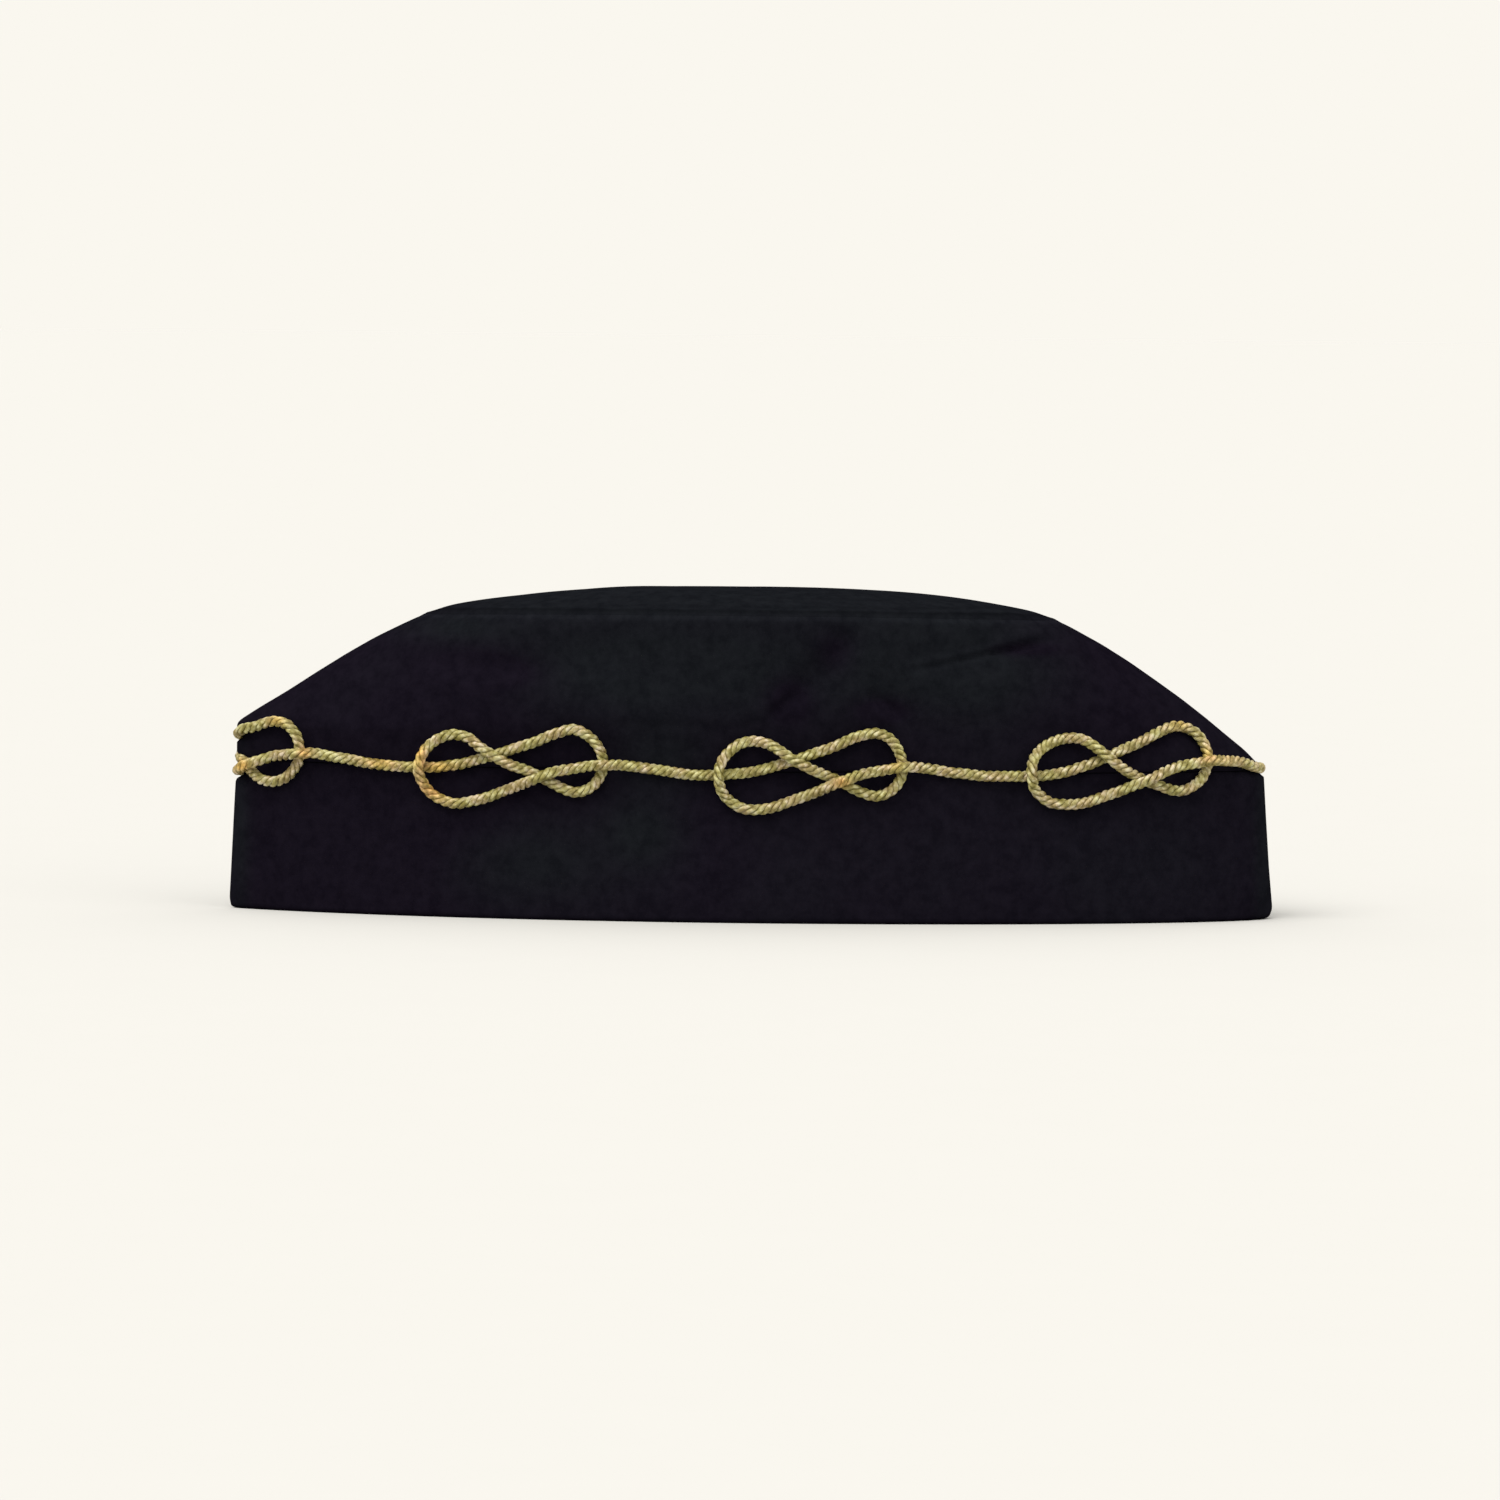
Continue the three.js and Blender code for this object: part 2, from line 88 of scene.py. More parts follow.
# Sections of the outer cloth: height, reach of the left and the right folded edge, half the depth,
# and how sharp the left and the right edge are, from 0.5 for an oval to 1 for a lens
SECTIONS = (
    (0, 140.7, 139.2, 36.6, 0.85, 0.6),
    (2.5, 141.3, 140.3, 37, 0.85, 0.6),
    (14, 140.8, 139.2, 36.2, 0.85, 0.6),
    (28, 140.2, 138.2, 34.8, 0.82, 0.6),
    (BAND_HEIGHT, 139.6, 137.4, 33.6, 0.8, 0.6),
    (45.5, 139.6, 132.2, 34, 0.8, 0.6),
    (50.3, 139.6, 126.2, 34.7, 0.79, 0.6),
    (54, 134, 121.7, 35.4, 0.78, 0.6),
    (59, 125.8, 115.2, 36.2, 0.74, 0.59),
    (64, 118.2, 108.1, 36.9, 0.7, 0.58),
    (69, 110.3, 100.8, 37.3, 0.66, 0.57),
    (73.5, 102.6, 93.5, 37.5, 0.63, 0.56),
    (77.5, 94.5, 86, 37.6, 0.6, 0.55),
    (CROWN_HEIGHT, 88.6, 80.5, 37.6, 0.58, 0.55),
)
SECTION_SOFTENING = (-0.9, -0.45, 0, 0.45, 0.9)
TIP_HALF_DEPTH = SECTIONS[-1][3]

# Where the cord is drawn tight over a folded edge: side (-1 left, 1 right), height, half height,
# depth
GROOVES = (
    (-1, 46.9, 1.4, 1.8),
    (-1, 38.4, 2.7, 3.4),
    (1, 40.4, 1.4, 2.1),
)
GROOVE_FADE = 24

# Dents and soft folds: side (-1 front, 1 back), x, height, half length, half width, tilt in
# degrees, and depth, which is negative where the cloth swells
DENTS = (
    (-1, -60, 69, 30, 6, 0, 2.2),
    (-1, 19, 69, 17, 5, 48, 1.8),
    (-1, 36, 59, 9, 4.5, -36, 1.2),
    (-1, 60, 72, 20, 4.5, 11, 1.3),
    (-1, -26, 56, 34, 5, 0, -0.8),
    (-1, -22, 19, 22, 10, 35, 0.9),
    (1, 30, 66, 32, 8, -8, 1.6),
    (1, -48, 62, 18, 6, 30, 1.2),
)
DENT_CALM = 2

# Sharper creases, each from one point to another with its lip on the right as it runs: side, x and
# height of the start, x and height of the end, half width, depth
CREASES = (
    (-1, 78, 74.6, 41, 66.9, 0.7, 0.8),
    (-1, 80, 75, 62, 71.3, 1.2, 1.1),
    (-1, 29.4, 77.2, 8.1, 58.9, 2.6, 0.65),
    (-1, 13, 61.5, 3, 54.4, 1.4, 0.8),
    (-1, 29.9, 61.5, 40, 54.7, 1.4, 1.15),
    (-1, -90, 67, -54, 66.6, 2.6, 0.8),
    (-1, -57, 54.6, 5, 54.6, 1.2, -0.12),
    (1, 12, 72, 46, 63, 1.6, 0.7),
    (1, -62, 57, -38, 70, 2, 0.6),
)
CREASE_FADE = 0.6
LIP_SHARE = 0.55
LIP_PLACE = 2.1

# One love knot in the order in which the cord is laid: along, up, and the lift over earlier passes,
# which is about 1 where it rides over one.
KNOT_ROUTE = (
    (-24.6, -0.9, 0), (-19.4, -0.5, 0), (-14, 0.6, 0), (-8.6, 2.1, 0), (-3.2, 3.9, 0),
    (2.1, 5.8, 0), (7.4, 7.9, 0), (12.2, 10, 0), (16.3, 10.9, 0), (20.1, 9.4, 0),
    (22.7, 6.3, 0), (23.9, 2.5, 0), (23.4, -1.4, 0), (21, -4.8, 0), (17.1, -6.2, 0),
    (13, -5.3, 0), (9, -3.2, 0), (5, -1.4, 0), (1, 0.4, 0.5), (-2.6, 2.4, 0.9),
    (-5.8, 4.3, 1), (-8.9, 6.4, 0.8), (-12.1, 8, 0.25), (-16.2, 8.5, 0), (-20.5, 7.1, 0),
    (-23.6, 3.9, 0.5), (-24.8, -0.5, 1), (-23.9, -5.1, 0.5), (-20.6, -8.7, 0), (-15.5, -10.2, 0),
    (-9.7, -9.2, 0), (-3.5, -7, 0), (1.4, -5.1, 0.25), (5.2, -3.6, 0.95), (8.8, -2.1, 1.05),
    (12.5, -0.6, 0.75), (16.4, 0.4, 0.4), (20.4, 1.3, 0.6), (24.3, 1.9, 1), (28.4, 1.9, 0.45),
)

# The knot that goes round the left fold, whose loops in front of the fold are squarer
FOLD_KNOT_ROUTE = (
    (-24.6, -0.9, 0), (-19.4, -0.5, 0), (-14, 0.6, 0), (-8.6, 2.1, 0), (-3.2, 3.6, 0),
    (1.2, 4.8, 0), (4.2, 6.1, 0), (6.2, 7.3, 0), (8.7, 8.1, 0), (11.5, 8.8, 0),
    (14.6, 9.6, 0), (17.9, 10, 0), (21, 9.4, 0), (23.2, 7.4, 0), (24.2, 5, 0),
    (24.7, 2.4, 0), (24.5, 0.3, 0), (23.6, -1.6, 0), (22.1, -3.6, 0), (20, -5.3, 0),
    (17.2, -6.4, 0), (13.7, -6.2, 0), (11, -5.1, 0), (8.6, -3.9, 0), (6.8, -2.8, 0),
    (5.4, -1.3, 0), (4.2, -0.4, 0.1), (1.6, 0.8, 0.35), (-2.2, 2.4, 0.85), (-5.9, 4.2, 1),
    (-9, 6.1, 0.8), (-12.2, 7.8, 0.25), (-16.2, 8.5, 0), (-20.5, 7.1, 0), (-23.6, 3.9, 0.5),
    (-24.8, -0.5, 1), (-23.9, -5.1, 0.5), (-20.6, -8.7, 0), (-15.5, -10.2, 0), (-9.7, -9.2, 0),
    (-3.5, -7, 0), (1.2, -5.2, 0.1), (4.2, -4.2, 0.45), (5.8, -3.6, 0.75), (7.6, -2.7, 1.05),
    (10.2, -1.6, 0.95), (12.6, -0.6, 0.6), (15.3, 0.3, 0.25), (18, 1, 0.3), (21.4, 1.5, 0.75),
    (24.9, 1.9, 1.05), (28.3, 2.1, 0.45),
)

# The knot beside the right fold, whose loops sit a little higher
RIGHT_KNOT_ROUTE = (
    (-24.6, -1.4, 0), (-19.3, -1.1, 0), (-13.9, 0.1, 0), (-8.6, 1.8, 0), (-3.2, 4, 0),
    (1.9, 6.1, 0), (7.1, 8.3, 0), (11.9, 10.6, 0), (16.2, 11, 0), (20, 9.2, 0),
    (23, 5.9, 0), (24.1, 1.7, 0), (22.6, -1.9, 0), (20.2, -4.3, 0), (17, -5.7, 0),
    (13.1, -5.4, 0), (8.8, -3.8, 0), (4.7, -2.2, 0), (0.6, -0.4, 0.5), (-3, 1.6, 0.9),
    (-6, 4, 1), (-8.8, 6.4, 0.8), (-12, 8.4, 0.25), (-16.2, 8.7, 0), (-20.6, 7, 0),
    (-24, 3.9, 0.5), (-25.2, -0.5, 1), (-23.9, -5.1, 0.5), (-20.2, -8.3, 0), (-15.5, -9.3, 0),
    (-9.9, -8.7, 0), (-3.7, -6.7, 0), (1.2, -4.8, 0.4), (5, -3.2, 1), (8.5, -1.7, 1.05),
    (12.2, -0.4, 0.75), (16.2, 0.4, 0.4), (20.2, 0.8, 0.6), (24.3, 0.9, 1), (28.4, 1, 0.45),
)

# The cord from one knot to the next: along and up from the knot behind it, and the lift
LINK_ROUTE = ((33, 1.2, 0), (41, 0, 0), (48, -0.8, 0))

# Each knot's station along the cord line from the middle of the front, its rise, its tilt in
# degrees, how long and how tall it is for its route, and the route
KNOTS = (
    (-308, 0.4, 0.5, 1, 1, KNOT_ROUTE),
    (-227, -0.4, 0, 1, 1, KNOT_ROUTE),
    (-147, 0.9, -0.6, 0.98, 0.96, FOLD_KNOT_ROUTE),
    (-63.1, 0.3, -0.6, 1.01, 1, KNOT_ROUTE),
    (16.6, 0, 0, 1, 1, KNOT_ROUTE),
    (100.1, 0.7, 0.2, 1.015, 0.97, RIGHT_KNOT_ROUTE),
    (181, -0.6, 0.4, 1, 1, KNOT_ROUTE),
)

# Where the cord lies a little higher or lower than its pattern: station, height, reach along,
# reach up, rise
CORD_SHIFTS = (
    (-108, 40.5, 14, 5, 0.7),
    (52, 40.5, 9, 5, -0.4),
    (144.5, 40.5, 6, 4, -0.8),
)

# Stains on the front of the cord: x, height, half length, half height, strength
STAINS = (
    (-138, 38.9, 2.6, 1.8, 0.9),
    (-128.6, 51.3, 2.4, 1.6, 0.6),
    (-120.5, 42.9, 2, 1.8, 0.7),
    (-100.1, 41, 4.5, 2, 0.6),
    (-89.5, 44.2, 1.8, 3, 0.8),
    (-84.4, 40.4, 5.5, 1.6, 0.6),
    (-85.5, 34.5, 5, 4, 0.7),
    (23.5, 37.8, 2.2, 1.6, 0.75),
    (37.5, 42.5, 2, 1.8, 0.4),
    (113.7, 53.6, 3, 2, 0.5),
    (121.5, 45, 2.4, 2.4, 0.45),
    (126.5, 44, 4, 2, 0.3),
)

# Greyer and bluer patches of faded cloth, painted shade in creases and dents, and a painted sheen on
# the folds: x, height, half length, half height, strength
FADED_AND_PAINTED_LIGHT_PATCHES = (
    (-38, 68, 24, 16, 0.9),
    (0, 68, 28, 16, 0.9),
    (50, 69, 30, 14, 1),
    # Painted shade: the next five darker, purpler patches lie in creases and dents
    (21, 72, 6, 6, -0.75),
    (9, 60, 6, 6, -0.9),
    (34, 57, 7, 3, -0.9),
    (71, 73, 9, 1.8, -0.8),
    (-70, 66, 12, 4, -0.7),
    (-80, 77, 16, 4, 0.6),
    (-25, 43, 15, 10, 0.7),
    (-57, 15, 22, 13, 0.9),
    (-29, 24, 11, 9, 0.7),
    # A painted sheen along the left and the right fold
    (-139, 20, 3, 26, 0.7),
    (138, 20, 3, 26, 0.7),
    (-4, 88, 130, 7, 1),
)

# Painted shade and highlight in bands along the cloth's edges: height, reach, share of its brightness
# The hem's foot and the band's seam get painted shade; the rounded hem and the seam's lip get a
# painted highlight
PAINTED_EDGE_LIGHT = (
    (0.3, 0.6, -0.4),
    (1.8, 0.8, 0.12),
    (BAND_HEIGHT, 0.5, -0.25),
    (79.5, 0.7, 0.2),
)

# Painted shade on the tip, in the crease beside its seam, by the distance in from its seam
PAINTED_TIP_SEAM_SHADE = (
    (1.2, 0.9, -0.34),
    (4.5, 1.2, -0.1),
)

# Unevenness of the cloth: depths, sizes, how much its seams draw it in, and how soon all this
# fades out towards the hem, the folds and the tip's edge
SLACK_DEPTH = 0.45
SLACK_SIZE = 38
SLACK_STRETCH = 1.6
RUMPLE_DEPTH = 0.16
RUMPLE_SIZE = 11
PUCKER_DEPTH = 0.28
PUCKER_REACH = 4
PUCKER_SIZE = 5
TIP_PINCH = 0.65
BAND_PINCH = 0.08
PINCH_REACH = 0.95
PINCH_REACH_AT_FOLDS = 6.5
HEM_CALM = 6
FOLD_CALM = 4
TIP_SLACK_DEPTH = 0.35
TIP_SLACK_SIZE = 26
TIP_STRETCH = 2.4
TIP_CALM = 9

# Wrinkles on the tip: x, y, half length, half width, tilt in degrees, depth
TIP_WRINKLES = (
    (-42, -32.5, 6, 1.3, 12, 0.9),
    (-21, -33.5, 9, 1.1, 0, 0.6),
    (12, -33, 20, 1.2, -2, 0.3),
    (47, -28, 12, 1.6, -9, 0.35),
    (-8, 6, 26, 4, 3, 0.5),
    (34, 14, 16, 3.5, 12, 0.5),
)

# Mesh steps
STEPS_AROUND = 720
FOLD_CROWDING = 0.3
BAND_ROWS = 50
CROWN_ROWS = 66
TIP_ROWS = 46
TIP_CROWDING = 1.25
INNER_ROWS = 10
EDGE_STEPS = 5
LINE_STEPS = 1440

# Where the tip's rings start and end, as shares of the way from its middle to its seam
TIP_TOP_START = 0.02
TIP_UNDER_START = 0.04
TIP_UNDER_END = 0.945
TIP_EDGE_SCALE = 40

# Studio light: the background's radiance, and each soft sun's name, bearing from the front to the
# right, elevation and strength. The floor's own colour makes it as bright as the background.
BACKGROUND = (0.956, 0.930, 0.863)
SUNS = (("key_sun", -34, 56, 2.6), ("fill_sun", 46, 34, 0.5))
SUN_SOFTNESS = 50
SUN_DISTANCE = 3
FLOOR_RADIUS = 30
FLOOR_RINGS = 12
FLOOR_SIDES = 96

# Camera, at the photo's angle
CAMERA_DISTANCE = 2200
CAMERA_ELEVATION = math.radians(3.2)
CAMERA_ROLL = math.radians(0.6)
CAMERA_AIM = (-1.2, 0, 44.1)
FRAME_WIDTH = 404.6
SENSOR = 36
NEAREST_SEEN = 0.05
FARTHEST_SEEN = 4 * FLOOR_RADIUS


# Curves and surfaces in millimetres


def unit(vectors):
    """The same directions, each one long."""
    return vectors / np.maximum(np.linalg.norm(vectors, axis=-1, keepdims=True), 1e-9)


def section_at(height):
    """Middle, half width, half depth and how sharp both edges are, with the rows' bends rounded."""
    heights = [row[0] for row in SECTIONS]
    columns = []
    for column in range(1, len(SECTIONS[0])):
        values = [row[column] for row in SECTIONS]
        near = [np.interp(height + offset, heights, values) for offset in SECTION_SOFTENING]
        columns.append(np.mean(near, axis=0))
    left, right, half_depth, left_edge, right_edge = columns
    return (right - left) / 2, (left + right) / 2, half_depth, left_edge, right_edge


def depth_share(angle, left_edge, right_edge):
    """How deep a section is at this angle, as a share of its depth in the middle."""
    sharpness = np.where(np.sin(angle) < 0, left_edge, right_edge)
    return np.abs(np.cos(angle)) ** (2 * sharpness)


def groove_depth(angle, height):
    """How far the cord has drawn the folded edges in."""
    depth = 0
    for side, groove_height, half_height, amount in GROOVES:
        profile = np.exp(-(((height - groove_height) / half_height) ** 4))
        depth = depth + (np.sign(np.sin(angle)) == side) * amount * profile
    return depth * np.abs(np.sin(angle)) ** GROOVE_FADE


def noise_at(x, y, z, size, seed):
    """Smooth noise from -1 to 1, with features of about the given size."""
    shape = np.broadcast(x, y, z).shape
    columns = [np.broadcast_to(value, shape).ravel() / size for value in (x, y, z)]
    values = [noise.noise((a + seed, b - seed, c + 2 * seed)) for a, b, c in zip(*columns)]
    return np.array(values).reshape(shape)


def turned(dx, dy, tilt, half_length, half_width):
    """Places along and across a tilted oval, 1 at its edge."""
    turn = math.radians(tilt)
    along = (dx * math.cos(turn) + dy * math.sin(turn)) / half_length
    across = (dy * math.cos(turn) - dx * math.sin(turn)) / half_width
    return along, across


def dent_depth(side, x, height):
    """How far the cloth sinks in its dents."""
    depth = np.zeros(np.broadcast(side, x, height).shape)
    for dent_side, dent_x, dent_height, half_length, half_width, tilt, amount in DENTS:
        along, across = turned(x - dent_x, height - dent_height, tilt, half_length, half_width)
        depth += (side == dent_side) * amount * np.exp(-(along**2) - across**2)
    return depth


def crease_depth(side, x, height):
    """Narrow folds that fade out at their ends, each with a low lip along one side."""
    depth = np.zeros(np.broadcast(side, x, height).shape)
    for crease_side, x0, height0, x1, height1, half_width, amount in CREASES:
        length = math.hypot(x1 - x0, height1 - height0)
        ahead, up = (x1 - x0) / length, (height1 - height0) / length
        along = ((x - x0) * ahead + (height - height0) * up) / length
        across = ((height - height0) * ahead - (x - x0) * up) / half_width
        fade = np.sin(math.pi * np.clip(along, 0, 1)) ** CREASE_FADE
        fold = np.exp(-(across**2)) - LIP_SHARE * np.exp(-((across + LIP_PLACE) ** 2))
        depth += (side == crease_side) * amount * fade * fold
    return depth


def pulled_point(angle, height, inset, pull):
    """The cloth's surface, with its folds pulled in by the given amount.

    The angle is 0 in the middle of the front and a quarter turn at the right fold. The inset is 0 on
    the outer face of the cloth and 1 on the inner face.
    """
    middle, half_width, half_depth, left_edge, right_edge = section_at(height)
    side = np.where(np.cos(angle) > 0, -1.0, 1.0)
    facing = np.abs(np.cos(angle))
    x = middle + (half_width - FOLD_INSET * inset - pull) * np.sin(angle)
    depth = (half_depth - CLOTH_THICKNESS * inset) * depth_share(angle, left_edge, right_edge)
    dent = dent_depth(side, x, height) * np.minimum(1, DENT_CALM * facing)
    arch_share = np.maximum(0, (height - ARCH_START) / (CROWN_HEIGHT - ARCH_START))
    z = height + SEAM_ARCH * arch_share**2 * facing
    return np.stack(np.broadcast_arrays(x, side * (depth - dent), z), axis=-1)


def cloth_point(angle, height, inset):
    """The cloth's surface with the cord's grooves, and smooth but for its dents."""
    return pulled_point(angle, height, inset, groove_depth(angle, height))


def outward(angle, height):
    """The direction square to the surface as it would be without grooves."""
    turn, rise = 0.004, 0.1
    around = pulled_point(angle + turn, height, 0, 0) - pulled_point(angle - turn, height, 0, 0)
    up = pulled_point(angle, height + rise, 0, 0) - pulled_point(angle, height - rise, 0, 0)
    return unit(np.cross(around, up))


def relief(angle, height):
    """Soft unevenness, creases and pinched seams, as a distance that the surface sinks."""
    point = cloth_point(angle, height, 0)
    x, y, z = point[..., 0], point[..., 1], point[..., 2]
    broad = SLACK_DEPTH * noise_at(x, y, z * SLACK_STRETCH, SLACK_SIZE, seed=3.7)
    fine = RUMPLE_DEPTH * noise_at(x, y, z * SLACK_STRETCH, RUMPLE_SIZE, seed=11.3)
    fold = crease_depth(np.where(np.cos(angle) > 0, -1.0, 1.0), x, height)
    below_tip = np.abs(height - CROWN_HEIGHT)
    pucker_noise = noise_at(x, y, z * 0, PUCKER_SIZE, seed=5.1)
    pucker = PUCKER_DEPTH * np.exp(-below_tip / PUCKER_REACH) * pucker_noise
    off_hem = np.clip(z / HEM_CALM, 0, 1)
    off_fold = np.clip(FOLD_CALM * np.abs(np.cos(angle)), 0, 1)
    soft = (broad + fine + fold + pucker) * off_hem * off_fold
    tip_seam = TIP_PINCH * np.exp(-((below_tip / PINCH_REACH) ** 2)) * off_fold
    band_seam = BAND_PINCH * np.exp(-(((height - BAND_HEIGHT) / PINCH_REACH) ** 2))
    return soft + tip_seam + band_seam


def sewn_point(angle, height, inset):
    """The cloth's surface with its unevenness, which sinks both faces of the cloth alike."""
    sink = outward(angle, height) * relief(angle, height)[..., None]
    return cloth_point(angle, height, inset) - sink


def pinch_reach(angle):
    """How far in from its seam the tip is drawn down: short, but long and gentle at the folds."""
    return np.interp(np.abs(np.cos(angle)), (0, 1 / FOLD_CALM), (PINCH_REACH_AT_FOLDS, PINCH_REACH))


def tip_point(outline, reach, share, drop):
    """A point on the tip, from a point of the outline that it is sewn to.

    The share is 0 in the middle of the tip and 1 at its seam. The drop is how far the point lies
    under the tip's upper face.
    """
    middle = section_at(np.array(float(CROWN_HEIGHT)))[0]
    x = middle + share * (outline[..., 0] - middle)
    y = share * outline[..., 1]
    edge_rise = outline[..., 2] - CROWN_HEIGHT
    rise = TIP_RISE + (edge_rise - TIP_RISE) * share**TIP_FULLNESS
    slack = TIP_SLACK_DEPTH * noise_at(x, y * TIP_STRETCH, x * 0, TIP_SLACK_SIZE, seed=8.9)
    wrinkle = np.zeros(x.shape)
    for wrinkle_x, wrinkle_y, half_length, half_width, tilt, amount in TIP_WRINKLES:
        along, across = turned(x - wrinkle_x, y - wrinkle_y, tilt, half_length, half_width)
        wrinkle += amount * np.exp(-(along**2) - across**2)
    sink = (slack + wrinkle) * np.clip((1 - share) * TIP_CALM, 0, 1)
    from_seam = (1 - share) * np.hypot(outline[..., 0] - middle, outline[..., 1])
    sink = sink + TIP_PINCH * np.exp(-((from_seam / reach) ** 2))
    z = CROWN_HEIGHT + SEAM_GAP + TIP_PINCH + rise - drop - sink
    return np.stack(np.broadcast_arrays(x, y, z), axis=-1)


def ring_angles(count):
    """The angles of a ring's points, which lie closer together at the folds."""
    turn = 2 * math.pi * np.arange(count) / count
    return turn - FOLD_CROWDING / 2 * np.sin(2 * turn)


# Meshes


def row_painted_light(places, table):
    """How much painted highlight or shade the cloth gets in each row of points."""
    painted_light_rows = np.zeros(len(places))
    for place, reach, amount in table:
        painted_light_rows += amount * np.exp(-(((places - place) / reach) ** 2))
    return painted_light_rows


def grid_mesh(name, points, painted_light_rows, closed_rows, caps=()):
    """A mesh of rings of points, each ring closed, with a UV map in millimetres of cloth."""
    rows, count = points.shape[:2]
    vertices = points.reshape(-1, 3) * MM + OFFSET
    strips = np.arange(rows if closed_rows else rows - 1)
    here = np.arange(count)
    beside = (here + 1) % count
    row = strips[:, None] * count
    above = ((strips + 1) % rows)[:, None] * count
    faces = np.stack([row + here, row + beside, above + beside, above + here], axis=-1)
    faces = faces.reshape(-1, 4)

    ring_step = np.linalg.norm(np.roll(points, -1, axis=1) - points, axis=2)
    column = np.concatenate([[0], np.cumsum(ring_step.mean(axis=0))])
    row_step = np.linalg.norm(np.roll(points, -1, axis=0) - points, axis=2).mean(axis=1)
    height = np.concatenate([[0], np.cumsum(row_step)])
    u = np.stack([column[:-1], column[1:], column[1:], column[:-1]], axis=-1)
    v = np.stack([height[strips], height[strips], height[strips + 1], height[strips + 1]], axis=-1)
    uv = np.empty((len(strips), count, 4, 2))
    uv[..., 0] = u[None]
    uv[..., 1] = v[:, None]
    uv = uv.reshape(-1, 2)

    polygons = faces.tolist()
    for ring_row, point, flip in caps:
        pole = len(vertices)
        vertices = np.vstack([vertices, point * MM + OFFSET])
        base = ring_row * count
        for step in range(count):
            pair = (base + step, base + (step + 1) % count)
            polygons.append((*(reversed(pair) if flip else pair), pole))
        uv = np.vstack([uv, np.zeros((3 * count, 2))])
    piece = mesh_object(name, vertices, polygons, "cloth", uv)
    # Fading, painted shade in the creases and a painted sheen on the folds, by where each point lies
    mark_points(piece, "faded_and_painted_light", spots((vertices - OFFSET) / MM, FADED_AND_PAINTED_LIGHT_PATCHES))
    # Each row's painted highlight or shade along the edges, and none at the caps' poles
    painted_light_points = np.concatenate([np.repeat(painted_light_rows, count), np.zeros(len(caps))])
    mark_points(piece, "painted_edge_light", painted_light_points)
    return piece


def mesh_object(name, vertices, polygons, uv_name, uv):
    """A smooth object in the scene, from points in metres and one UV point for each face corner."""
    mesh = bpy.data.meshes.new(name)
    mesh.from_pydata(vertices.tolist(), [], polygons)
    mesh.polygons.foreach_set("use_smooth", np.ones(len(mesh.polygons), bool))
    layer = mesh.uv_layers.new(name=uv_name)
    layer.data.foreach_set("uv", uv.astype(np.float32).ravel())
    piece = bpy.data.objects.new(name, mesh)
    bpy.context.scene.collection.objects.link(piece)
    return piece


def spots(points, table):
    """How strongly the spots of a table mark each point, whichever side of the cap it is on."""
    strength = np.zeros(len(points))
    for x, height, half_length, half_height, amount in table:
        along = (points[:, 0] - x) / half_length
        up = (points[:, 2] - height) / half_height
        strength += amount * np.exp(-(along**2) - up**2)
    return strength


def mark_points(piece, name, values):
    """Gives each point of a piece a value that its material reads by this name."""
    layer = piece.data.attributes.new(name, "FLOAT", "POINT")
    layer.data.foreach_set("value", values.astype(np.float32))


def side_wall(name, low, high, low_rounding, top_slope, outer_rows):
    """A cloth wall between two heights: up the outside, over the top edge, down the inside."""
    turn = np.linspace(0, math.pi / 2, EDGE_STEPS)
    rise = np.sin(turn)
    run = 1 - np.cos(turn)
    high_inset = SEAM_ROUNDING / CLOTH_THICKNESS
    low_inset = low_rounding / CLOTH_THICKNESS
    outer = np.linspace(low + low_rounding, high - SEAM_ROUNDING, outer_rows)
    inner = np.linspace(high - SEAM_ROUNDING, low + low_rounding, INNER_ROWS)
    # Both lists run up the outer face, in over the rounded top edge, down the inner face, and out
    # under the rounded lower edge.
    heights = np.concatenate([
        outer,
        high - SEAM_ROUNDING * (1 - rise[1:]),
        high - SEAM_ROUNDING * (1 - rise[:0:-1]),
        inner,
        low + low_rounding * (1 - rise[1:]),
        low + low_rounding * (1 - rise[:0:-1]),
    ])
    insets = np.concatenate([
        outer * 0,
        high_inset * run[1:],
        1 - high_inset * run[:0:-1],
        inner * 0 + 1,
        1 - low_inset * run[1:],
        low_inset * run[:0:-1],
    ])
    near_top = np.clip((heights - high + SLOPE_START) / SLOPE_START, 0, 1)
    heights = heights - top_slope * insets * near_top
    angles = ring_angles(STEPS_AROUND)
    points = sewn_point(angles[None, :], heights[:, None], insets[:, None])
    # Painted highlight and shade along the edges, on all but the inner face
    painted_light_rows = row_painted_light(heights, PAINTED_EDGE_LIGHT) * (insets < 1)
    return grid_mesh(name, points, painted_light_rows, closed_rows=True)


